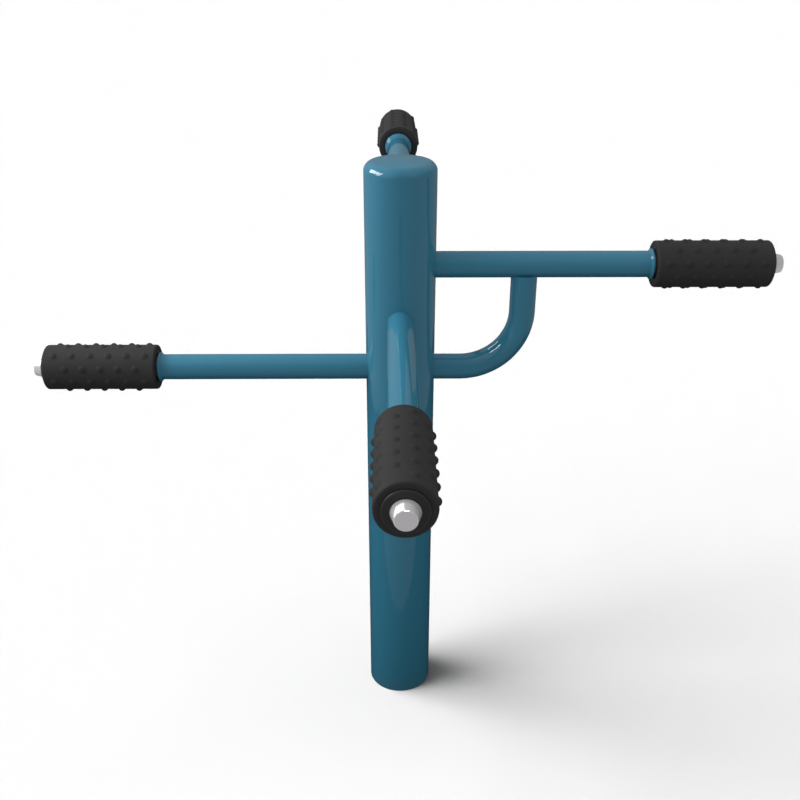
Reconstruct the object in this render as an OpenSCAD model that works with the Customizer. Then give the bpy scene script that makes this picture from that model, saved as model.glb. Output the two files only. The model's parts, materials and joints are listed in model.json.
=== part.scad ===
// Four-arm outdoor leg exercise post.
// A vertical round post carries four horizontal arms at four heights, a quarter
// turn apart. Each arm ends in a free-turning rubber roller with raised nubs,
// held on its spindle by a tapered security nut. A bent tube braces the arm on
// the right. Frame: origin on the post's axis at ground level, +Z up,
// -Y towards the front arm, +X towards the braced arm.

/* [Post] */
// Outside diameter of the post tube
post_d = 114.3; // [112:0.1:120]
// Wall thickness of the post tube
post_wall = 3.6; // [3:0.1:5]
// Height of the straight side of the post, up to the start of the rounded top
post_h = 1000; // [980:1:1100]
// Radius that rounds the top edge of the post
top_round = 15; // [8:0.5:20]
// Radius of the shallow crown on the top
crown_r = 500; // [300:10:900]

/* [Ground socket] */
// Bore that drops over the ground spigot
socket_bore_d = 89.9; // [85:0.1:95]
// Depth of the socket
socket_h = 250; // [150:5:350]
// Diameter of the set screws that lock the post on the spigot
screw_d = 12; // [8:1:16]

/* [Arms] */
// Outside diameter of the arm tubes and of the brace
arm_d = 42.4; // [42:0.1:44]
// Wall thickness of the arm tubes and of the brace
arm_wall = 3.2; // [2.6:0.1:4]
// Height of the left arm's axis
left_h = 670; // [600:1:690]
// Height of the front arm's axis
front_h = 769; // [740:1:790]
// Height of the right arm's axis
right_h = 849.5; // [835:0.5:860]
// Height of the rear arm's axis
rear_h = 949; // [935:1:955]
// Distance from the post's axis to the end of each arm tube
arm_end = 398; // [380:1:400]

/* [Brace] */
// Height of the brace's lower, horizontal leg
brace_h = 669.7; // [640:0.1:690]
// Distance from the post's axis to the brace's upright leg
brace_x = 199.8; // [185:0.1:230]
// Bend radius of the brace, on its centre line
brace_bend = 100; // [90:1:110]
// Depth of the brace's square-cut upper end below the right arm's axis
brace_seat = 16.2; // [15:0.1:18]

/* [Collar] */
// Outside diameter of the collar at the end of each arm
collar_d = 50; // [47:0.5:54]
// Thickness of the collar
collar_t = 5.5; // [4.5:0.1:6]

/* [Roller] */
// Distance from the post's axis to the inner end of the rollers
roller_start = 406; // [405.8:0.1:407]
// Length of the rubber tread
roller_len = 185; // [180:1:190]
// Outside diameter of the tread, without its nubs
roller_d = 74.6; // [72:0.1:78]
// Outside diameter of the roller's core tube
core_d = 56; // [54:0.5:57]
// Inside diameter of the roller's core tube
core_bore = 46; // [42:0.5:48]
// Radius that rounds the tread's ends
tread_round = 3; // [1:0.5:4]
// Diameter of the disc that closes the outer end
disc_d = 56.8; // [54:0.1:58]
// Height of that disc above the end of the tread
disc_t = 4; // [3.5:0.1:5]

/* [Nubs] */
// Diameter of a nub where it leaves the tread
nub_d = 11.3; // [8:0.1:12]
// Height of a nub
nub_h = 3.7; // [3:0.1:4.5]
// Spacing of the nubs along a long row, which has six
long_pitch = 30; // [26:0.5:31]
// Spacing of the nubs along a short row, which has five
short_pitch = 29; // [26:0.5:31]
// Offset of the long rows' middle from the tread's middle, away from the post
long_shift = -0.7; // [-3:0.1:3]
// Offset of the short rows' middle from the tread's middle, away from the post
short_shift = -3.2; // [-5:0.1:5]
// Number of rows around the roller, shorter and longer rows in turn
nub_rows = 10; // [6:2:12]

/* [Spindle] */
// Diameter of the spindle
spindle_d = 25; // [22:0.5:28]
// Diameter of the threaded end
thread_d = 20; // [16:1:20]
// Radial clearance between spindle and bushes
bush_gap = 0.06; // [0.03:0.01:0.09]
// Length of each bush
bush_len = 32; // [20:1:60]
// Play between the roller and the washer at each end
end_play = 0.4; // [0.3:0.05:0.6]

/* [Security nut] */
// Diameter of the nut at its base
nut_base_d = 35.8; // [30:0.1:38]
// Diameter of the nut at its tip
nut_tip_d = 27.2; // [24:0.1:28]
// Distance from the post's axis to the nut's tip
reach = 611.7; // [611:0.1:614]

/* [Hidden] */
$fn = 96;

post_r = post_d / 2;
post_ir = post_r - post_wall;
arm_r = arm_d / 2;
arm_ir = arm_r - arm_wall;
socket_r = socket_bore_d / 2;
screw_r = screw_d / 2;

// Stations along an arm, as distances from the post's axis.
collar_face = arm_end + collar_t;
roller_end = roller_start + roller_len;
disc_face = roller_end + disc_t;
nut_seat = disc_face + 0.3;           // the nut's base, just clear of the disc
outer_washer_t = 2;
shoulder = nut_seat - outer_washer_t; // the spindle's shoulder, under the washer
recess_floor = shoulder - end_play;   // floor of the recess in the end disc
plug_start = arm_end - 38;            // inner end of the plug in the arm tube

spindle_r = spindle_d / 2;
bore_r = spindle_r + bush_gap;
tread_r = roller_d / 2;
core_r = core_d / 2;
core_ir = core_bore / 2;

// Headings of the arms, and the angle of a five-nub row of each roller,
// measured round the arm from its top.
front_az = -90; front_row = -18;
right_az = 0;   right_row = 36;
rear_az = 90;   rear_row = -18;
left_az = 180;  left_row = 0;

painted = [0.29, 0.51, 0.60];
steel = [0.72, 0.73, 0.74];
rubber = [0.20, 0.20, 0.21];
nylon = [0.10, 0.10, 0.11];
zinc = [0.60, 0.62, 0.64];

// Lays its children, drawn along +Z from the origin, along an arm:
// az is the arm's heading, h its height. The arm's top side is local -X.
module on_arm(az, h) {
  translate([0, 0, h]) rotate([0, 0, az]) rotate([0, 90, 0]) children();
}

// A plain tube or ring between two stations on the local Z axis.
module ring(ro, ri, z0, z1) {
  translate([0, 0, z0]) difference() {
    cylinder(r = ro, h = z1 - z0);
    translate([0, 0, -1]) cylinder(r = ri, h = z1 - z0 + 2);
  }
}

// Points of a circular arc: centre c, radius r, from angle a to angle b.
function arc(c, r, a, b, n) =
  [for (i = [0:n]) let (t = a + (b - a) * i / n) [c[0] + r * cos(t), c[1] + r * sin(t)]];

// ---- post ---------------------------------------------------------------

// Tilt of the line from the crown's centre through the edge round's centre.
cap_edge_x = post_r - top_round;
cap_tilt = acos(cap_edge_x / (crown_r - top_round));
cap_base = post_h - sqrt(pow(crown_r - top_round, 2) - pow(cap_edge_x, 2));

module post_tube() {
  color(painted) difference() {
    cylinder(r = post_r, h = post_h);
    translate([0, 0, -1]) cylinder(r = post_ir, h = post_h + 2);
    screw_holes();
  }
}

// The dished top, ground flush with the tube and located by a short lip.
module post_cap() {
  wall = 4;
  outer = concat(
    arc([cap_edge_x, post_h], top_round, 0, cap_tilt, 18),
    arc([0, cap_base], crown_r, cap_tilt + (90 - cap_tilt) / 8, 90, 7));
  inner = concat(
    arc([0, cap_base], crown_r - wall, 90, cap_tilt, 8),
    arc([cap_edge_x, post_h], top_round - wall, cap_tilt - cap_tilt / 9, cap_tilt / 9, 7));
  color(painted) rotate_extrude($fn = 96) polygon(concat(
    outer, inner,
    [[post_ir - 3.5, post_h], [post_ir - 3.5, post_h - 12],
     [post_ir, post_h - 12], [post_ir, post_h]]));
}

// Set-screw holes: two rows, on the rear half of the post.
module screw_spots() {
  for (z = [60, 190], a = [55, 125])
    translate([0, 0, z]) rotate([0, 0, a]) rotate([0, 90, 0]) children();
}

module screw_holes() {
  screw_spots() translate([0, 0, socket_r - 3]) cylinder(r = screw_r, h = post_r - socket_r + 8);
}

// Thick sleeve welded inside the foot of the post, bored to sit on a spigot.
module anchor_sleeve() {
  color(steel) difference() {
    ring(post_ir, socket_r, 0, socket_h);
    screw_holes();
  }
}

// Cup-point set screws with a hexagon socket.
module set_screws() {
  color(zinc) screw_spots() difference() {
    translate([0, 0, socket_r + 0.4]) cylinder(r = screw_r, h = post_r - socket_r - 1.4);
    translate([0, 0, post_r - 7]) cylinder(r = screw_r * 0.58, h = 10, $fn = 6);
  }
}

// ---- arms ---------------------------------------------------------------

module arm_tube(az, h) {
  color(painted) difference() {
    on_arm(az, h) ring(arm_r, arm_ir, post_r - 12, arm_end);
    cylinder(r = post_r, h = post_h);
  }
}

// Bent tube from the post up to the underside of the right arm. Its upper end is
// closed, cut square and scooped only as deep as the arm beds into it.
module right_brace() {
  color(painted) difference() {
    brace_tube(arm_r);
    brace_bore(arm_ir);
    cylinder(r = post_r, h = post_h);
    translate([0, 0, right_h]) rotate([0, 90, 0]) cylinder(r = arm_r + 0.1, h = 400);
  }
}

module brace_tube(r) {
  translate([post_r - 12, 0, brace_h]) rotate([0, 90, 0])
    cylinder(r = r, h = brace_x - brace_bend - post_r + 12);
  translate([brace_x - brace_bend, 0, brace_h + brace_bend]) rotate([90, 0, 0])
    rotate([0, 0, -90]) rotate_extrude(angle = 90) translate([brace_bend, 0]) circle(r = r);
  translate([brace_x, 0, brace_h + brace_bend])
    cylinder(r = r, h = right_h - brace_seat - brace_h - brace_bend);
}

module brace_bore(r) {
  translate([post_r - 20, 0, brace_h]) rotate([0, 90, 0])
    cylinder(r = r, h = brace_x - brace_bend - post_r + 20);
  translate([brace_x - brace_bend, 0, brace_h + brace_bend]) rotate([90, 0, 0])
    rotate([0, 0, -90]) rotate_extrude(angle = 90) translate([brace_bend, 0]) circle(r = r);
  translate([brace_x, 0, brace_h + brace_bend])
    cylinder(r = r, h = right_h - arm_r - 3.2 - brace_h - brace_bend);
}

// Turned plug: a spigot in the arm tube and a bevelled collar outside it.
module end_plug(az, h) {
  collar_r = collar_d / 2;
  color(painted) on_arm(az, h) rotate_extrude() polygon(concat(
    [[spindle_r, plug_start], [arm_ir, plug_start], [arm_ir, arm_end],
     [arm_r, arm_end], [collar_r - 0.5, arm_end + 2.6], [collar_r, arm_end + 3.3]],
    arc([collar_r - 1, collar_face - 1], 1, 0, 90, 5),
    [[spindle_r, collar_face]]));
}

// ---- spindle and what holds the roller on it ------------------------------

// Spindle fixed in the plug, with a shoulder and a threaded outer end.
module spindle(az, h) {
  color(steel) on_arm(az, h) rotate_extrude() polygon([
    [0, plug_start], [spindle_r, plug_start], [spindle_r, shoulder - 0.6],
    [spindle_r - 0.6, shoulder], [thread_d / 2, shoulder],
    [thread_d / 2, reach - 6.5], [thread_d / 2 - 1.5, reach - 5], [0, reach - 5]]);
}

module inner_washer(az, h) {
  color(zinc) on_arm(az, h) ring(20, spindle_r, collar_face, roller_start - end_play);
}

module outer_washer(az, h) {
  color(zinc) on_arm(az, h) ring(17, thread_d / 2, shoulder, nut_seat);
}

// Tapered security nut: a smooth cone, closed at the tip.
module security_nut(az, h) {
  nb = nut_base_d / 2;
  nt = nut_tip_d / 2;
  color(steel) on_arm(az, h) rotate_extrude() polygon([
    [thread_d / 2, nut_seat], [nb - 0.5, nut_seat], [nb, nut_seat + 0.5],
    [nt + 0.15, reach - 0.7], [nt - 0.7, reach], [0, reach],
    [0, reach - 4.6], [thread_d / 2, reach - 4.6]]);
}

// ---- roller ---------------------------------------------------------------

module core(az, h) {
  color(nylon) on_arm(az, h) ring(core_r, core_ir, roller_start + 0.5, roller_end);
}

// Plain bushes pressed into the core.
module inner_bush(az, h) {
  color(nylon) on_arm(az, h) ring(core_ir, bore_r, roller_start, roller_start + bush_len);
}

module outer_bush(az, h) {
  color(nylon) on_arm(az, h) ring(core_ir, bore_r, roller_end - bush_len, roller_end);
}

// Rubber tread with staggered rows of domed nubs.
module tread(az, h, row) {
  mid = roller_start + roller_len / 2;
  dome_r = (pow(nub_d / 2, 2) + pow(nub_h, 2)) / (2 * nub_h);
  rise = tread_r + nub_h - dome_r;
  color(rubber) on_arm(az, h) union() {
    rotate_extrude() polygon(concat(
      [[core_r, roller_start]],
      arc([tread_r - tread_round, roller_start + tread_round], tread_round, -90, 0, 6),
      arc([tread_r - tread_round, roller_end - tread_round], tread_round, 0, 90, 6),
      [[core_r, roller_end]]));
    for (k = [0:nub_rows - 1]) {
      long = k % 2;
      n = 5 + long;
      pitch = long == 1 ? long_pitch : short_pitch;
      start = mid + (long == 1 ? long_shift : short_shift) - (n - 1) / 2 * pitch;
      for (i = [0:n - 1])
        rotate([0, 0, 180 - row - k * 360 / nub_rows])
          translate([rise, 0, start + i * pitch])
            sphere(r = dome_r, $fn = 32);
    }
  }
}

// Disc that closes the outer end, recessed round the washer.
module end_disc(az, h) {
  dr = disc_d / 2;
  color(nylon) on_arm(az, h) rotate_extrude() polygon([
    [bore_r, roller_end], [dr, roller_end], [dr, disc_face - 1.6],
    [dr - 0.5, disc_face - 0.7], [dr - 1.8, disc_face], [17.9, disc_face],
    [17.9, recess_floor], [bore_r, recess_floor]]);
}

post_tube();
post_cap();
anchor_sleeve();
set_screws();
right_brace();

arm_tube(front_az, front_h);  // front_arm
end_plug(front_az, front_h);  // front_end_plug
spindle(front_az, front_h);  // front_spindle
inner_washer(front_az, front_h);  // front_inner_washer
outer_washer(front_az, front_h);  // front_outer_washer
security_nut(front_az, front_h);  // front_security_nut
core(front_az, front_h);  // front_core
inner_bush(front_az, front_h);  // front_inner_bush
outer_bush(front_az, front_h);  // front_outer_bush
tread(front_az, front_h, front_row);  // front_tread
end_disc(front_az, front_h);  // front_end_disc

arm_tube(right_az, right_h);  // right_arm
end_plug(right_az, right_h);  // right_end_plug
spindle(right_az, right_h);  // right_spindle
inner_washer(right_az, right_h);  // right_inner_washer
outer_washer(right_az, right_h);  // right_outer_washer
security_nut(right_az, right_h);  // right_security_nut
core(right_az, right_h);  // right_core
inner_bush(right_az, right_h);  // right_inner_bush
outer_bush(right_az, right_h);  // right_outer_bush
tread(right_az, right_h, right_row);  // right_tread
end_disc(right_az, right_h);  // right_end_disc

arm_tube(rear_az, rear_h);  // rear_arm
end_plug(rear_az, rear_h);  // rear_end_plug
spindle(rear_az, rear_h);  // rear_spindle
inner_washer(rear_az, rear_h);  // rear_inner_washer
outer_washer(rear_az, rear_h);  // rear_outer_washer
security_nut(rear_az, rear_h);  // rear_security_nut
core(rear_az, rear_h);  // rear_core
inner_bush(rear_az, rear_h);  // rear_inner_bush
outer_bush(rear_az, rear_h);  // rear_outer_bush
tread(rear_az, rear_h, rear_row);  // rear_tread
end_disc(rear_az, rear_h);  // rear_end_disc

arm_tube(left_az, left_h);  // left_arm
end_plug(left_az, left_h);  // left_end_plug
spindle(left_az, left_h);  // left_spindle
inner_washer(left_az, left_h);  // left_inner_washer
outer_washer(left_az, left_h);  // left_outer_washer
security_nut(left_az, left_h);  // left_security_nut
core(left_az, left_h);  // left_core
inner_bush(left_az, left_h);  // left_inner_bush
outer_bush(left_az, left_h);  // left_outer_bush
tread(left_az, left_h, left_row);  // left_tread
end_disc(left_az, left_h);  // left_end_disc
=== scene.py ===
import json
import math
import bmesh
import bpy
from mathutils import Matrix, Vector
from mathutils.geometry import delaunay_2d_cdt

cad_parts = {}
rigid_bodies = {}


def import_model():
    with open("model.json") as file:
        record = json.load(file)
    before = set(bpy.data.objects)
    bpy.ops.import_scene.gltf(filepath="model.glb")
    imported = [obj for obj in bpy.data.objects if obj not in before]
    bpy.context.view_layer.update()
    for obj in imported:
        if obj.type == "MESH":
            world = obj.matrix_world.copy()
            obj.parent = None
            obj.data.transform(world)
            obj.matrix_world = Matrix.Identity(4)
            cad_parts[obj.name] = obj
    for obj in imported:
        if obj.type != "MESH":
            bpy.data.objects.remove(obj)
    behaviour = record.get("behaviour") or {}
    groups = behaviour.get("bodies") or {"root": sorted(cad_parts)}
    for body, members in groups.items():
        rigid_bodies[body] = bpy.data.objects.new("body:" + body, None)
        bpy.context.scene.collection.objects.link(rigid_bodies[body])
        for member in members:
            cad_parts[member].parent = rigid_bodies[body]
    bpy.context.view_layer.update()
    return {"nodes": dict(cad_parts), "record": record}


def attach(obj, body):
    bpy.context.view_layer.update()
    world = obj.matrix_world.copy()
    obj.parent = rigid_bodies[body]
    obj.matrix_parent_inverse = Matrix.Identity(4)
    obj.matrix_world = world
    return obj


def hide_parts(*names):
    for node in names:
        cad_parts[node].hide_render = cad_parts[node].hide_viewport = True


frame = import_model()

scene = bpy.context.scene
nodes = frame["nodes"]

# ---------------------------------------------------------------- dimensions
POST_R = 0.05715
POST_H = 1.0
ARM_R = 0.0212
ARM_END = 0.398
COLLAR_FACE = 0.4035
BRACE_H = 0.6697
BRACE_X = 0.1998
BRACE_BEND = 0.100
REACH = 0.6117
ARMS = {
    "front": (-90.0, 0.769, -18.0),
    "right": (0.0, 0.8495, 36.0),
    "rear": (90.0, 0.949, -18.0),
    "left": (180.0, 0.670, 0.0),
}


def arm_matrix(arm):
    """Local +Z runs out along the arm, local -X is its top side."""
    az, h, _ = ARMS[arm]
    return Matrix.Translation((0, 0, h)) @ Matrix.Rotation(math.radians(az), 4, "Z") @ Matrix.Rotation(math.radians(90), 4, "Y")


# ---------------------------------------------------------------- materials
class Nodes:
    """Small helper to write shader node trees."""

    def __init__(self, name):
        self.mat = bpy.data.materials.new(name)
        self.mat.use_nodes = True
        self.tree = self.mat.node_tree
        self.tree.nodes.clear()
        self.out = self.tree.nodes.new("ShaderNodeOutputMaterial")
        self.bsdf = self.tree.nodes.new("ShaderNodeBsdfPrincipled")
        self.link(self.bsdf, "BSDF", self.out, "Surface")
        self.coord = self.tree.nodes.new("ShaderNodeTexCoord")

    def link(self, a, ao, b, bi):
        self.tree.links.new(a.outputs[ao], b.inputs[bi])

    def add(self, kind, **values):
        n = self.tree.nodes.new(kind)
        for k, v in values.items():
            setattr(n, k, v)
        return n

    def mapping(self, scale=(1, 1, 1), rot=(0, 0, 0), loc=(0, 0, 0)):
        m = self.add("ShaderNodeMapping")
        m.inputs["Scale"].default_value = scale
        m.inputs["Rotation"].default_value = rot
        m.inputs["Location"].default_value = loc
        self.link(self.coord, "Object", m, "Vector")
        return m

    def noise(self, scale, detail=4.0, rough=0.5, vec=None, distortion=0.0):
        n = self.add("ShaderNodeTexNoise")
        n.inputs["Scale"].default_value = scale
        n.inputs["Detail"].default_value = detail
        n.inputs["Roughness"].default_value = rough
        n.inputs["Distortion"].default_value = distortion
        if vec is None:
            self.link(self.coord, "Object", n, "Vector")
        else:
            self.link(vec, 0, n, "Vector")
        return n

    def voronoi(self, scale, feature="F1", vec=None, randomness=1.0):
        n = self.add("ShaderNodeTexVoronoi", feature=feature)
        n.inputs["Scale"].default_value = scale
        n.inputs["Randomness"].default_value = randomness
        if vec is None:
            self.link(self.coord, "Object", n, "Vector")
        else:
            self.link(vec, 0, n, "Vector")
        return n

    def ramp(self, src, out, stops, interp="LINEAR"):
        r = self.add("ShaderNodeValToRGB")
        r.color_ramp.interpolation = interp
        e = r.color_ramp.elements
        while len(e) < len(stops):
            e.new(0.5)
        for el, (pos, col) in zip(e, stops):
            el.position = pos
            el.color = col if len(col) == 4 else (*col, 1)
        self.link(src, out, r, "Fac")
        return r

    def grey(self, src, out, stops, interp="LINEAR"):
        return self.ramp(src, out, [(p, (v, v, v)) for p, v in stops], interp)

    def range(self, src, out, a, b, c, d):
        r = self.add("ShaderNodeMapRange")
        r.inputs["From Min"].default_value = a
        r.inputs["From Max"].default_value = b
        r.inputs["To Min"].default_value = c
        r.inputs["To Max"].default_value = d
        self.link(src, out, r, "Value")
        return r

    def math(self, op, a, b=None, clamp=False):
        m = self.add("ShaderNodeMath", operation=op, use_clamp=clamp)
        for i, v in enumerate((a, b)):
            if v is None:
                continue
            if isinstance(v, (int, float)):
                m.inputs[i].default_value = v
            else:
                self.link(v[0], v[1], m, i)
        return m

    def mix(self, fac, a, b, blend="MIX"):
        m = self.add("ShaderNodeMix", data_type="RGBA", blend_type=blend)
        for i, v in ((0, fac), (6, a), (7, b)):
            if isinstance(v, (int, float)):
                m.inputs[i].default_value = v
            elif isinstance(v, tuple) and isinstance(v[0], (int, float)):
                m.inputs[i].default_value = v if len(v) == 4 else (*v, 1)
            else:
                self.tree.links.new(v[0].outputs[v[1]], m.inputs[i])
        return m

    def bump(self, height, out, strength, distance, normal=None):
        b = self.add("ShaderNodeBump")
        b.inputs["Strength"].default_value = strength
        b.inputs["Distance"].default_value = distance
        self.link(height, out, b, "Height")
        if normal is not None:
            self.link(normal, "Normal", b, "Normal")
        return b

    def edges(self, radius=0.0012):
        """0 on flat and gently rounded places, towards 1 within the radius of a sharp edge."""
        near = self.add("ShaderNodeBevel", samples=4)
        near.inputs["Radius"].default_value = radius
        here = self.add("ShaderNodeNewGeometry")
        dot = self.add("ShaderNodeVectorMath", operation="DOT_PRODUCT")
        self.link(near, "Normal", dot, 0)
        self.link(here, "Normal", dot, 1)
        return self.grey(self.range(dot, "Value", 0.995, 0.90, 0.0, 1.0), "Result", [(0.0, 0.0), (1.0, 1.0)])

    def crests(self):
        """Towards 1 on sharp places of a closely meshed piece."""
        g = self.add("ShaderNodeNewGeometry")
        return self.grey(g, "Pointiness", [(0.56, 0.0), (0.66, 1.0)])

    def set(self, **values):
        for k, v in values.items():
            self.bsdf.inputs[k.replace("_", " ")].default_value = v

    def surface(self, color=None, rough=None, normal=None, metal=None):
        if color is not None:
            self.link(*color, self.bsdf, "Base Color")
        if rough is not None:
            self.link(*rough, self.bsdf, "Roughness")
        if metal is not None:
            self.link(*metal, self.bsdf, "Metallic")
        if normal is not None:
            self.link(normal, "Normal", self.bsdf, "Normal")


PAINT = (0.0482, 0.248, 0.378)
PAINT_LOW = (0.0466, 0.241, 0.368)


def paint_material():
    n = Nodes("teal_powder_coat")
    big = n.noise(5.0, 3, 0.5)
    tint = n.mix((big, "Fac"), (*PAINT_LOW, 1), (*PAINT, 1))
    fine = n.noise(90.0, 2, 0.5)
    cloud = n.grey(fine, "Fac", [(0.30, 0.99), (0.70, 1.01)])
    col = n.mix(1.0, (tint, 2), (cloud, "Color"), "MULTIPLY")
    # a little dust where the post meets the ground
    sep = n.add("ShaderNodeSeparateXYZ")
    n.link(n.coord, "Object", sep, "Vector")
    low = n.range(sep, "Z", 0.0, 0.035, 1.0, 0.0)
    dirt_n = n.noise(60.0, 5, 0.65)
    dirt = n.math("MULTIPLY", (low, "Result"), (dirt_n, "Fac"), True)
    dirt = n.math("MULTIPLY", (dirt, 0), 0.30, True)
    col = n.mix((dirt, 0), (col, 2), (0.16, 0.17, 0.16, 1))
    # fine rub marks on sharp outer edges
    edge = n.edges()
    chips = n.grey(n.noise(420.0, 4, 0.7), "Fac", [(0.54, 0.0), (0.60, 1.0)])
    worn = n.math("MULTIPLY", (edge, "Color"), (chips, "Color"), True)
    worn = n.math("MULTIPLY", (worn, 0), 0.35, True)
    col = n.mix((worn, 0), (col, 2), (0.20, 0.36, 0.42, 1))
    r_n = n.noise(22.0, 4, 0.55)
    rough = n.range(r_n, "Fac", 0.3, 0.7, 0.030, 0.055)
    peel = n.noise(130.0, 1, 0.4)
    b1 = n.bump(peel, "Fac", 0.04, 0.00008)
    n.surface((col, 2), (rough, "Result"), b1)
    n.set(IOR=1.5, Specular_IOR_Level=0.45)
    return n.mat


def rubber_material():
    n = Nodes("black_moulded_rubber")
    big = n.noise(14.0, 4, 0.55)
    col = n.mix((big, "Fac"), (0.0375, 0.0375, 0.0380, 1), (0.0465, 0.0465, 0.0470, 1))
    # painted shade: the nubs are coloured a little darker than the skin between them, so their lit sides show no
    # brighter than the skin
    raised = n.add("ShaderNodeAttribute", attribute_type="GEOMETRY", attribute_name="raised")
    dark = n.math("MULTIPLY", (raised, "Fac"), 0.20, True)
    col = n.mix((dark, 0), (col, 2), (0.024, 0.024, 0.0245, 1))
    fine = n.noise(1500.0, 3, 0.6)
    # scuffs and a trace of pale dust on the sharp places
    edge = n.crests()
    scuff_n = n.noise(220.0, 5, 0.7)
    scuff = n.grey(scuff_n, "Fac", [(0.48, 0.0), (0.66, 1.0)])
    worn = n.math("MULTIPLY", (edge, "Color"), (scuff, "Color"), True)
    worn = n.math("MULTIPLY", (worn, 0), 0.10, True)
    col = n.mix((worn, 0), (col, 2), (0.07, 0.069, 0.068, 1))
    r_n = n.noise(70.0, 4, 0.6)
    rough = n.range(r_n, "Fac", 0.3, 0.7, 0.62, 0.74)
    b1 = n.bump(fine, "Fac", 0.20, 0.00008)
    n.surface((col, 2), (rough, "Result"), b1)
    n.set(IOR=1.5, Specular_IOR_Level=0.17)
    return n.mat


def disc_material():
    n = Nodes("black_nylon")
    big = n.noise(30.0, 4, 0.6)
    col = n.mix((big, "Fac"), (0.016, 0.016, 0.0163, 1), (0.022, 0.022, 0.0224, 1))
    fine = n.noise(2400.0, 2, 0.6)
    # pale sharp edges: edge wear, and also a painted highlight along the rim
    edge = n.edges()
    col = n.mix((n.math("MULTIPLY", (edge, "Color"), 0.25, True), 0), (col, 2), (0.06, 0.06, 0.062, 1))
    r_n = n.noise(120.0, 4, 0.6)
    rough = n.range(r_n, "Fac", 0.3, 0.7, 0.36, 0.50)
    b1 = n.bump(fine, "Fac", 0.25, 0.00006)
    n.surface((col, 2), (rough, "Result"), b1)
    n.set(IOR=1.5)
    return n.mat


def turned_steel(name, light, dark, rough_lo, rough_hi, ring_scale=900.0):
    """Turned metal: a fine speckle comes from plain noise."""
    n = Nodes(name)
    big = n.noise(45.0, 4, 0.55)
    col = n.mix((big, "Fac"), (*dark, 1), (*light, 1))
    fine = n.noise(ring_scale, 3, 0.6)
    speck = n.grey(fine, "Fac", [(0.3, 0.93), (0.7, 1.04)])
    col = n.mix(1.0, (col, 2), (speck, "Color"), "MULTIPLY")
    edge = n.edges()
    col = n.mix((n.math("MULTIPLY", (edge, "Color"), 0.25, True), 0), (col, 2), (0.85, 0.85, 0.86, 1))
    r_n = n.noise(160.0, 4, 0.6)
    rough = n.range(r_n, "Fac", 0.3, 0.7, rough_lo, rough_hi)
    b1 = n.bump(fine, "Fac", 0.12, 0.00004)
    n.surface((col, 2), (rough, "Result"), b1)
    n.set(Metallic=1.0)
    return n.mat


def nut_material():
    """Satin stainless: a polished cone, and an end face painted near white, painted light that makes the end read as
    brightly lit.
    """
    n = Nodes("satin_stainless")
    big = n.noise(60.0, 4, 0.55)
    col = n.mix((big, "Fac"), (0.655, 0.64, 0.655, 1), (0.705, 0.69, 0.705, 1))
    # distance from the post's axis, which is the distance along every arm
    flat = n.add("ShaderNodeVectorMath", operation="MULTIPLY")
    n.link(n.coord, "Object", flat, 0)
    flat.inputs[1].default_value = (1.0, 1.0, 0.0)
    far = n.add("ShaderNodeVectorMath", operation="LENGTH")
    n.link(flat, 0, far, 0)
    # painted light: the end face is coloured near white to stand in for the light on it
    painted_light_face = n.range(far, "Value", REACH - 0.0005, REACH - 0.0002, 0.0, 1.0)
    col = n.mix((painted_light_face, "Result"), (col, 2), (0.97, 0.945, 0.97, 1))
    edge = n.edges()
    col = n.mix((n.math("MULTIPLY", (edge, "Color"), 0.4, True), 0), (col, 2), (0.92, 0.91, 0.93, 1))
    scratch = n.grey(n.noise(700.0, 3, 0.7), "Fac", [(0.30, 0.97), (0.65, 1.01)])
    col = n.mix(1.0, (col, 2), (scratch, "Color"), "MULTIPLY")
    r_n = n.noise(160.0, 4, 0.6)
    rough = n.range(r_n, "Fac", 0.3, 0.7, 0.06, 0.11)
    b1 = n.bump(r_n, "Fac", 0.02, 0.00005)
    n.surface((col, 2), (rough, "Result"), b1)
    n.set(Metallic=0.12, IOR=1.9)
    return n.mat


M_PAINT = paint_material()
M_RUBBER = rubber_material()
M_DISC = disc_material()
M_NUT = nut_material()
M_STEEL = turned_steel("zinc_plated_steel", (0.55, 0.56, 0.57), (0.42, 0.43, 0.44), 0.30, 0.45)

SLOT = {"paint": M_PAINT, "rubber": M_RUBBER, "plastic": M_DISC, "stainless": M_NUT, "steel": M_STEEL}


def wear(obj, mat):
    obj.data.materials.clear()
    obj.data.materials.append(mat)


for sub in frame["record"]["subparts"]:
    wear(nodes[sub["node"]], SLOT[sub["material_slot"]])


def smooth(obj, angle=35.0):
    """Shades soft across shallow edges only."""
    me = obj.data
    me.polygons.foreach_set("use_smooth", [True] * len(me.polygons))
    me.set_sharp_from_angle(angle=math.radians(angle))


# ---------------------------------------------------------------- mesh tools
def mesh_object(name, verts, faces, mat, body):
    me = bpy.data.meshes.new(name)
    me.from_pydata([tuple(map(float, v)) for v in verts], [], faces)
    me.validate()
    me.update()
    ob = bpy.data.objects.new(name, me)
    scene.collection.objects.link(ob)
    me.materials.append(mat)
    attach(ob, body)
    return ob


def revolve(profile, segments, matrix, close=False):
    """Vertices and faces of a profile [(r, z), ...] turned about local Z."""
    verts, faces = [], []
    m = len(profile)
    for i in range(segments):
        a = 2 * math.pi * i / segments
        c, s = math.cos(a), math.sin(a)
        for r, z in profile:
            verts.append(matrix @ Vector((r * c, r * s, z)))
    last = m if close else m - 1
    for i in range(segments):
        j = (i + 1) % segments
        for k in range(last):
            l = (k + 1) % m
            faces.append((i * m + k, j * m + k, j * m + l, i * m + l))
    return verts, faces


# ---------------------------------------------------------------- treads
TREAD_R = 0.0373
TREAD_IN = 0.0280
TREAD_START = 0.406
TREAD_LEN = 0.185
TREAD_ROUND = 0.003
NUB_R = 0.00565
NUB_H = 0.0037
NUB_FILLET = 0.0013
NUB_SOFT = 0.38


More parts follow.
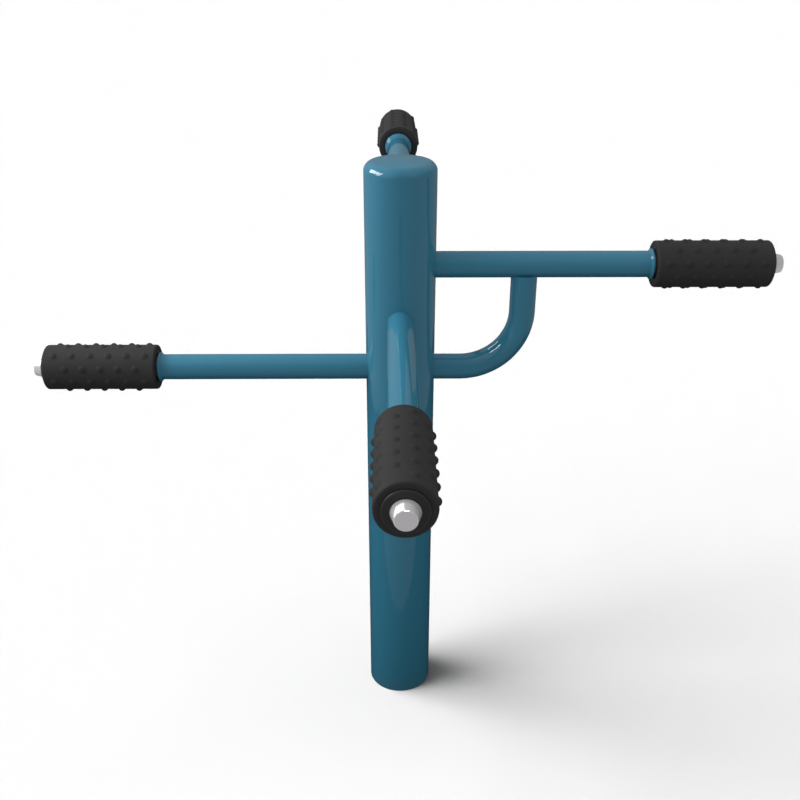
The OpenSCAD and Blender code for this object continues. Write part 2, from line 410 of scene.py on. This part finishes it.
def nub_profile(d):
    """Height of the tread's skin at distance d from a nub's middle: a dome run out by a fillet."""
    dome = (NUB_R ** 2 + NUB_H ** 2) / (2 * NUB_H)
    cap = math.sqrt(max(dome * dome - d * d, 0.0)) - (dome - NUB_H)
    blend = max(NUB_FILLET - abs(cap), 0.0)
    return max(cap, 0.0) + blend * blend / (4 * NUB_FILLET)


def nub_spots(row_angle):
    """(distance along the roller, angle round it) of each nub, the angle from local +X."""
    spots = []
    mid = TREAD_START + TREAD_LEN / 2
    for k in range(10):
        long = k % 2
        pitch, shift, n = (0.030, -0.0007, 6) if long else (0.029, -0.0032, 5)
        ang = math.radians(180.0 - row_angle - k * 36.0) % (2 * math.pi)
        for i in range(n):
            spots.append((mid + shift + (i - (n - 1) / 2) * pitch, ang))
    return spots


def shade(verts, spots, matrix):
    """Soft normals: the nubs run into the tread the way worn moulded rubber does."""
    turn = 2 * math.pi
    lo, hi = TREAD_START + TREAD_ROUND, TREAD_START + TREAD_LEN - TREAD_ROUND
    mid = (lo + hi) / 2
    out = []
    for v in verts:
        r, a, u = math.hypot(v[0], v[1]), math.atan2(v[1], v[0]), v[2]
        radial = Vector((math.cos(a), math.sin(a), 0.0))
        around = Vector((-math.sin(a), math.cos(a), 0.0))
        along = Vector((0.0, 0.0, 1.0))
        if r < TREAD_IN + 0.00001:
            out.append(-radial)
            continue
        if r < TREAD_R - TREAD_ROUND + 0.00001:
            out.append(along if u > mid else -along)
            continue
        if u < lo - 1e-6 or u > hi + 1e-6:
            side = (u - hi) if u > mid else (u - lo)
            t = math.asin(max(-1.0, min(1.0, side / TREAD_ROUND)))
            out.append((radial * math.cos(t) + along * math.sin(t)).normalized())
            continue
        n = radial.copy()
        for nu, na in spots:
            da = (a - na + math.pi) % turn - math.pi
            du, ds = u - nu, da * TREAD_R
            d = math.hypot(du, ds)
            if 1e-7 < d < NUB_R + 0.0016:
                slope = (nub_profile(d + 0.0001) - nub_profile(d - 0.0001)) / 0.0002
                slope = max(-1.6, min(0.0, slope)) * NUB_SOFT
                n -= (along * (du / d) + around * (ds / d)) * slope
                break
        out.append(n.normalized())
    turnm = matrix.to_3x3()
    return [(turnm @ n).normalized() for n in out]


def tread_mesh(arm):
    """Moulded tread as one closed skin: nubs with filleted feet, rounded ends, bore."""
    turn = 2 * math.pi
    lo, hi = TREAD_START + TREAD_ROUND, TREAD_START + TREAD_LEN - TREAD_ROUND
    steps = 90
    spots = nub_spots(ARMS[arm][2])
    angles = sorted({round(a, 6) for _, a in spots})
    seam = (angles[0] + angles[-1] - turn) / 2 if len(angles) > 1 else 0.0
    rings = [0.0] + [NUB_R * f for f in (0.20, 0.38, 0.55, 0.70, 0.82, 0.90, 0.95, 0.985, 1.015, 1.05, 1.09)] + [NUB_R + 0.0011]
    pts, height = [], []
    for u, a in spots:
        s0 = ((a - seam) % turn) * TREAD_R
        for j, r in enumerate(rings):
            count = 1 if j == 0 else (12 if j < 3 else 24)
            for i in range(count):
                t = turn * (i + (0.5 if j % 2 else 0.0)) / count
                pts.append((u + r * math.cos(t), s0 + r * math.sin(t)))
                height.append(nub_profile(r))
    inner = len(pts)
    arc_step = turn * TREAD_R / steps
    near = [(u, ((a - seam) % turn) * TREAD_R) for u, a in spots]
    rows = 44
    for j in range(1, rows):
        u = lo + (hi - lo) * j / rows
        for i in range(1, steps):
            s = i * arc_step + (arc_step / 2 if j % 2 else 0.0)
            if i == steps - 1 and j % 2:
                continue
            if min((u - nu) ** 2 + (s - ns) ** 2 for nu, ns in near) > (NUB_R + 0.0026) ** 2:
                pts.append((u, s))
                height.append(0.0)
    # border: the two end rings and the seam, once on each side
    border = []
    for i in range(steps + 1):
        border.append((lo, i * arc_step))
    for j in range(1, rows):
        border.append((lo + (hi - lo) * j / rows, steps * arc_step))
    for i in range(steps, -1, -1):
        border.append((hi, i * arc_step))
    for j in range(rows - 1, 0, -1):
        border.append((lo + (hi - lo) * j / rows, 0.0))
    first = len(pts)
    pts += border
    height += [0.0] * len(border)
    edges = [(first + i, first + (i + 1) % len(border)) for i in range(len(border))]
    out_co, _, out_faces, orig, _, _ = delaunay_2d_cdt([Vector(p) * 1000 for p in pts], edges, [], 1, 1e-5)
    verts, index, key = [], [], {}
    for v, src in zip(out_co, orig):
        h = height[src[0]] if src else 0.0
        u, s = pts[src[0]] if src else (v[0] / 1000, v[1] / 1000)
        ang = (s / TREAD_R) % turn
        if turn - ang < 1e-5:
            ang = 0.0
        tag = (round(u, 7), round(ang, 6))
        if tag not in key:
            key[tag] = len(verts)
            a = ang + seam
            verts.append(((TREAD_R + h) * math.cos(a), (TREAD_R + h) * math.sin(a), u))
        index.append(key[tag])
    faces = [tuple(index[i] for i in f) for f in out_faces]
    faces = [f for f in faces if len(set(f)) == len(f)]

    def ring(radius, u):
        ids = []
        for i in range(steps):
            tag = (round(u, 7), round(i * turn / steps, 6))
            if abs(radius - TREAD_R) < 1e-9 and tag in key:
                ids.append(key[tag])
            else:
                a = i * turn / steps + seam
                ids.append(len(verts))
                verts.append((radius * math.cos(a), radius * math.sin(a), u))
        return ids

    loop = [ring(TREAD_R, hi)]
    for t in (22.5, 45.0, 67.5, 90.0):
        t = math.radians(t)
        loop.append(ring(TREAD_R - TREAD_ROUND * (1 - math.cos(t)), hi + TREAD_ROUND * math.sin(t)))
    loop.append(ring(TREAD_IN + 0.0004, hi + TREAD_ROUND))
    loop.append(ring(TREAD_IN, hi + TREAD_ROUND - 0.0004))
    loop.append(ring(TREAD_IN, lo - TREAD_ROUND + 0.0004))
    loop.append(ring(TREAD_IN + 0.0004, lo - TREAD_ROUND))
    for t in (90.0, 67.5, 45.0, 22.5):
        t = math.radians(t)
        loop.append(ring(TREAD_R - TREAD_ROUND * (1 - math.cos(t)), lo - TREAD_ROUND * math.sin(t)))
    loop.append(ring(TREAD_R, lo))
    for a, b in zip(loop, loop[1:]):
        for i in range(steps):
            j = (i + 1) % steps
            faces.append((a[i], a[j], b[j], b[i]))
    m = arm_matrix(arm)
    return [m @ Vector(v) for v in verts], faces, shade(verts, spots, m)


for arm in ARMS:
    tv, tf, tn = tread_mesh(arm)
    piece = mesh_object(arm + "_moulded_tread", tv, tf, M_RUBBER, arm + "_roller")
    bm = bmesh.new()
    bm.from_mesh(piece.data)
    bmesh.ops.recalc_face_normals(bm, faces=bm.faces)
    bm.to_mesh(piece.data)
    bm.free()
    piece.data.polygons.foreach_set("use_smooth", [True] * len(piece.data.polygons))
    piece.data.normals_split_custom_set_from_vertices([tuple(n) for n in tn])
    back = arm_matrix(arm).inverted()
    raised = piece.data.attributes.new("raised", "FLOAT", "POINT")
    for v, slot_value in zip(piece.data.vertices, raised.data):
        q = back @ v.co
        slot_value.value = max(0.0, min(1.0, (math.hypot(q.x, q.y) - TREAD_R) / (0.6 * NUB_H)))
    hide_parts(arm + "_tread")


# ---------------------------------------------------------------- camera
PITCH = math.radians(26.893 - 0.0296)
YAW = -math.radians(0.638) + math.radians(0.0296)
ROLL = math.radians(0.085)
cam_data = bpy.data.cameras.new("camera")
cam = bpy.data.objects.new("camera", cam_data)
scene.collection.objects.link(cam)
cam_data.sensor_width = 36.0
cam_data.lens = 968.156 * 36.0 / 800.0
cam_data.dof.use_dof = False
cam_data.clip_start = 0.05
cam_data.clip_end = 60
cam.matrix_world = (Matrix.Translation((-0.01597, -1.4826, 1.3568))
                    @ Matrix.Rotation(YAW, 4, "Z")
                    @ Matrix.Rotation(math.pi / 2 - PITCH, 4, "X")
                    @ Matrix.Rotation(ROLL, 4, "Z"))
scene.camera = cam

# ---------------------------------------------------------------- stage
def plain_mesh(name, verts, faces):
    me = bpy.data.meshes.new(name)
    me.from_pydata(verts, [], faces)
    ob = bpy.data.objects.new(name, me)
    scene.collection.objects.link(ob)
    return ob


# The floor is only seen, so the object is lit by the softboxes and the studio alone.
S = 60.0
floor = plain_mesh("floor", [(-S, -S, 0), (S, -S, 0), (S, S, 0), (-S, S, 0)], [(0, 1, 2, 3)])
fm = Nodes("pale_floor")
fn = fm.noise(0.6, 2, 0.5)
FLOOR_ALBEDO = 0.20
fc = fm.mix((fn, "Fac"), (FLOOR_ALBEDO,) * 3, (FLOOR_ALBEDO * 1.004,) * 3)
fm.surface((fc, 2))
fm.set(Roughness=1.0, Specular_IOR_Level=0.0)
floor.data.materials.append(fm.mat)
for flag in ("visible_diffuse", "visible_glossy", "visible_transmission", "visible_shadow"):
    setattr(floor, flag, False)


# Below the floor's level: a dark copy of the ground as painted shade, unseen by the camera, which the object's
# underside and foot mirror and which keeps light from below off them.
card = plain_mesh("shaded_ground_copy", [(-1.2, -0.305, -0.001), (1.2, -0.305, -0.001), (1.2, 1.5, -0.001), (-1.2, 1.5, -0.001)], [(0, 1, 2, 3)])
cm = Nodes("shaded_ground_copy")
cn = cm.noise(3.0, 2, 0.5)
cm.surface((cm.mix((cn, "Fac"), (0.03,) * 3, (0.035,) * 3), 2))
cm.set(Roughness=1.0, Specular_IOR_Level=0.0)
card.data.materials.append(cm.mat)
card.visible_camera = False


def soft_studio(levels):
    """A dim room with broad soft walls: its brightness at eight headings, 45 degrees
    apart from +X towards +Y, on rings of equal elevation."""
    world = bpy.data.worlds.new("soft_studio")
    scene.world = world
    world.use_nodes = True
    tree = world.node_tree
    tree.nodes.clear()

    def calc(op, a, b=0.0):
        m = tree.nodes.new("ShaderNodeMath")
        m.operation = op
        for i, v in enumerate((a, b)):
            if isinstance(v, (int, float)):
                m.inputs[i].default_value = v
            else:
                tree.links.new(v, m.inputs[i])
        return m.outputs[0]

    coord = tree.nodes.new("ShaderNodeTexCoord")
    sep = tree.nodes.new("ShaderNodeSeparateXYZ")
    tree.links.new(coord.outputs["Generated"], sep.inputs[0])
    elevation = calc("MULTIPLY", calc("ARCSINE", sep.outputs["Z"]), 180.0 / math.pi)
    turn = calc("FRACT", calc("ADD", calc("DIVIDE", calc("ARCTAN2", sep.outputs["Y"], sep.outputs["X"]), 2 * math.pi), 1.0))
    rings = sorted(levels)
    total = None
    for i, ring in enumerate(rings):
        weight = None
        if i > 0:
            weight = calc("DIVIDE", calc("SUBTRACT", elevation, rings[i - 1]), ring - rings[i - 1])
        if i + 1 < len(rings):
            down = calc("DIVIDE", calc("SUBTRACT", rings[i + 1], elevation), rings[i + 1] - ring)
            weight = down if weight is None else calc("MINIMUM", weight, down)
        weight = calc("MAXIMUM", calc("MINIMUM", weight, 1.0), 0.0)
        values = levels[ring]
        ramp = tree.nodes.new("ShaderNodeValToRGB")
        stops = ramp.color_ramp.elements
        while len(stops) < 9:
            stops.new(0.5)
        for k, stop in enumerate(stops):
            v = values[k % len(values)]
            stop.position = k / 8.0
            stop.color = (v / LEVEL_TOP, v / LEVEL_TOP, v / LEVEL_TOP, 1)
        tree.links.new(turn, ramp.inputs["Fac"])
        part = calc("MULTIPLY", weight, ramp.outputs["Color"])
        total = part if total is None else calc("ADD", total, part)
    bg = tree.nodes.new("ShaderNodeBackground")
    bg.inputs["Color"].default_value = (1, 1, 1, 1)
    tree.links.new(calc("MULTIPLY", total, LEVEL_TOP), bg.inputs["Strength"])
    # behind the floor's far edge the camera sees a pale backdrop
    pale = tree.nodes.new("ShaderNodeBackground")
    pale.inputs["Color"].default_value = (1, 1, 1, 1)
    pale.inputs["Strength"].default_value = 1.0
    path = tree.nodes.new("ShaderNodeLightPath")
    choose = tree.nodes.new("ShaderNodeMixShader")
    tree.links.new(path.outputs["Is Camera Ray"], choose.inputs[0])
    tree.links.new(bg.outputs[0], choose.inputs[1])
    tree.links.new(pale.outputs[0], choose.inputs[2])
    out = tree.nodes.new("ShaderNodeOutputWorld")
    tree.links.new(choose.outputs[0], out.inputs["Surface"])


LEVEL_TOP = 2.0
soft_studio({
    -90: (0.24,) * 8,
    -15: (0.40, 0.26, 0.06, 0.30, 0.42, 0.30, 0.26, 0.34),
    12: (0.21, 0.27, 0.25, 0.45, 0.44, 0.76, 0.14, 0.51),
    35: (0.52, 0.59, 0.38, 0.66, 0.78, 0.83, 0.23, 0.80),
    60: (0.73, 0.61, 0.57, 0.70, 0.86, 0.82, 0.44, 0.61),
    90: (0.51,) * 8,
})


def area(name, loc, target, size, size_y, power):
    d = bpy.data.lights.new(name, "AREA")
    d.energy = power
    d.shape = "RECTANGLE"
    d.size = size
    d.size_y = size_y
    o = bpy.data.objects.new(name, d)
    scene.collection.objects.link(o)
    o.location = loc
    o.rotation_euler = (Vector(target) - Vector(loc)).to_track_quat("-Z", "Y").to_euler()
    return o


def linked(light, collection):
    light.light_linking.receiver_collection = collection
    return light


only_floor = bpy.data.collections.new("lit_floor")
only_floor.objects.link(floor)
only_part = bpy.data.collections.new("lit_part")
for o in scene.objects:
    if o.type == "MESH" and o not in (floor, card):
        only_part.objects.link(o)

KEY_POWER = 18.8
brace_only = bpy.data.collections.new("lit_brace")
brace_only.objects.link(nodes["right_brace"])
only_part.objects.unlink(nodes["right_brace"])
linked(area("key_softbox", (-1.6, 0.0, 1.68), (0.0, 0.0, 0.95), 1.56, 0.72, KEY_POWER), only_part)
brace_key = linked(area("key_for_brace", (-1.601, 0.0, 1.6805), (0.0, 0.0, 0.95), 1.56, 0.72, KEY_POWER), brace_only)
brace_key.visible_glossy = False


def glint(light, names):
    """Seen only as a reflection, and only by these nodes."""
    group = bpy.data.collections.new("sees_" + light.name)
    for name in names:
        group.objects.link(nodes[name])
    light.visible_diffuse = False
    light.visible_transmission = False
    return linked(light, group)


# key_core brightens the key's reflection in the cap; the brace's bend shows the key as two narrow strips of light.
glint(area("key_core", (-1.55, 0.0, 1.657), (0.0, 0.0, 0.95), 1.51, 0.70, 25.5), ["post_cap"])
glint(area("nut_card", (-2.06, 0.34, 1.64), (-1.00, -1.26, 0.77), 3.0, 4.2, 124.0), [a + "_security_nut" for a in ARMS])
glint(area("nut_edge", (0.18, -2.00, 2.19), (0.0, -0.60, 0.77), 0.9, 0.5, 30.0), [a + "_security_nut" for a in ARMS])
for name, one_end, other_end, width, radiance in (
        ("brace_strip_rear", (-0.639, 0.424, 0.642), (-0.842, 0.364, 0.399), 0.28, 10.5),
        ("brace_strip_front", (-0.671, -0.312, 0.673), (-0.852, -0.335, 0.403), 0.24, 15.5)):
    a, b = Vector(one_end).normalized() * 1.9, Vector(other_end).normalized() * 1.9
    back = (a + b).normalized()
    along = (b - a) - (b - a).dot(back) * back
    strip = area(name, (0, 0, 0), (0, 0, -1), along.length, width, math.pi * radiance * along.length * width)
    across = back.cross(along.normalized())
    strip.matrix_world = Matrix.Translation(Vector((0.157, -0.011, 0.709)) + (a + b) / 2) @ Matrix(
        (along.normalized(), across, back)).transposed().to_4x4()
    glint(strip, ["right_brace"])

# pale ground light on the undersides of the nuts at the sides and the rear
side_nuts = bpy.data.collections.new("lit_side_nuts")
for a in ("right", "rear", "left"):
    side_nuts.objects.link(nodes[a + "_security_nut"])
nut_fill = linked(area("nut_fill", (0.0, 0.0, -2.0), (0.0, 0.001, 0.8), 8.0, 8.0, 330.0), side_nuts)
nut_fill.visible_glossy = False

# A tall soft wall of light on the left makes the floor's shadow: parallel rays, so that the whole floor is even.
# Each row is one elevation, with the floor's share of light from each heading.
FLOOR_LEVEL = 0.995
FLOOR_FROM = (150.0, 165.0, 180.0, 195.0, 210.0)
FLOOR_ROWS = (
    (15.0, (0.009, 0.015, 0.010, 0.030, 0.013)),
    (27.0, (0.014, 0.032, 0.025, 0.044, 0.009)),
    (40.0, (0.023, 0.069, 0.062, 0.074, 0.022)),
    (55.0, (0.039, 0.083, 0.058, 0.055, 0.032)),
    (70.0, (0.025, 0.041, 0.024, 0.021, 0.019)))
wall = [(elev, heading, share) for elev, shares in FLOOR_ROWS for heading, share in zip(FLOOR_FROM, shares)]
for elev, heading, share in wall + [(70.0, 120.0, 0.008), (70.0, 135.0, 0.011), (70.0, 225.0, 0.007), (70.0, 90.0, 0.012)]:
    d = bpy.data.lights.new("floor_light", "SUN")
    d.angle = math.radians(18.0)
    d.energy = FLOOR_LEVEL * share * math.pi / (FLOOR_ALBEDO * math.sin(math.radians(elev)))
    o = bpy.data.objects.new("floor_light", d)
    scene.collection.objects.link(o)
    az, el = math.radians(heading), math.radians(elev)
    toward = Vector((math.cos(el) * math.cos(az), math.cos(el) * math.sin(az), math.sin(el)))
    o.rotation_euler = (-toward).to_track_quat("-Z", "Y").to_euler()
    linked(o, only_floor)

scene.view_settings.view_transform = "Standard"
scene.view_settings.look = "None"
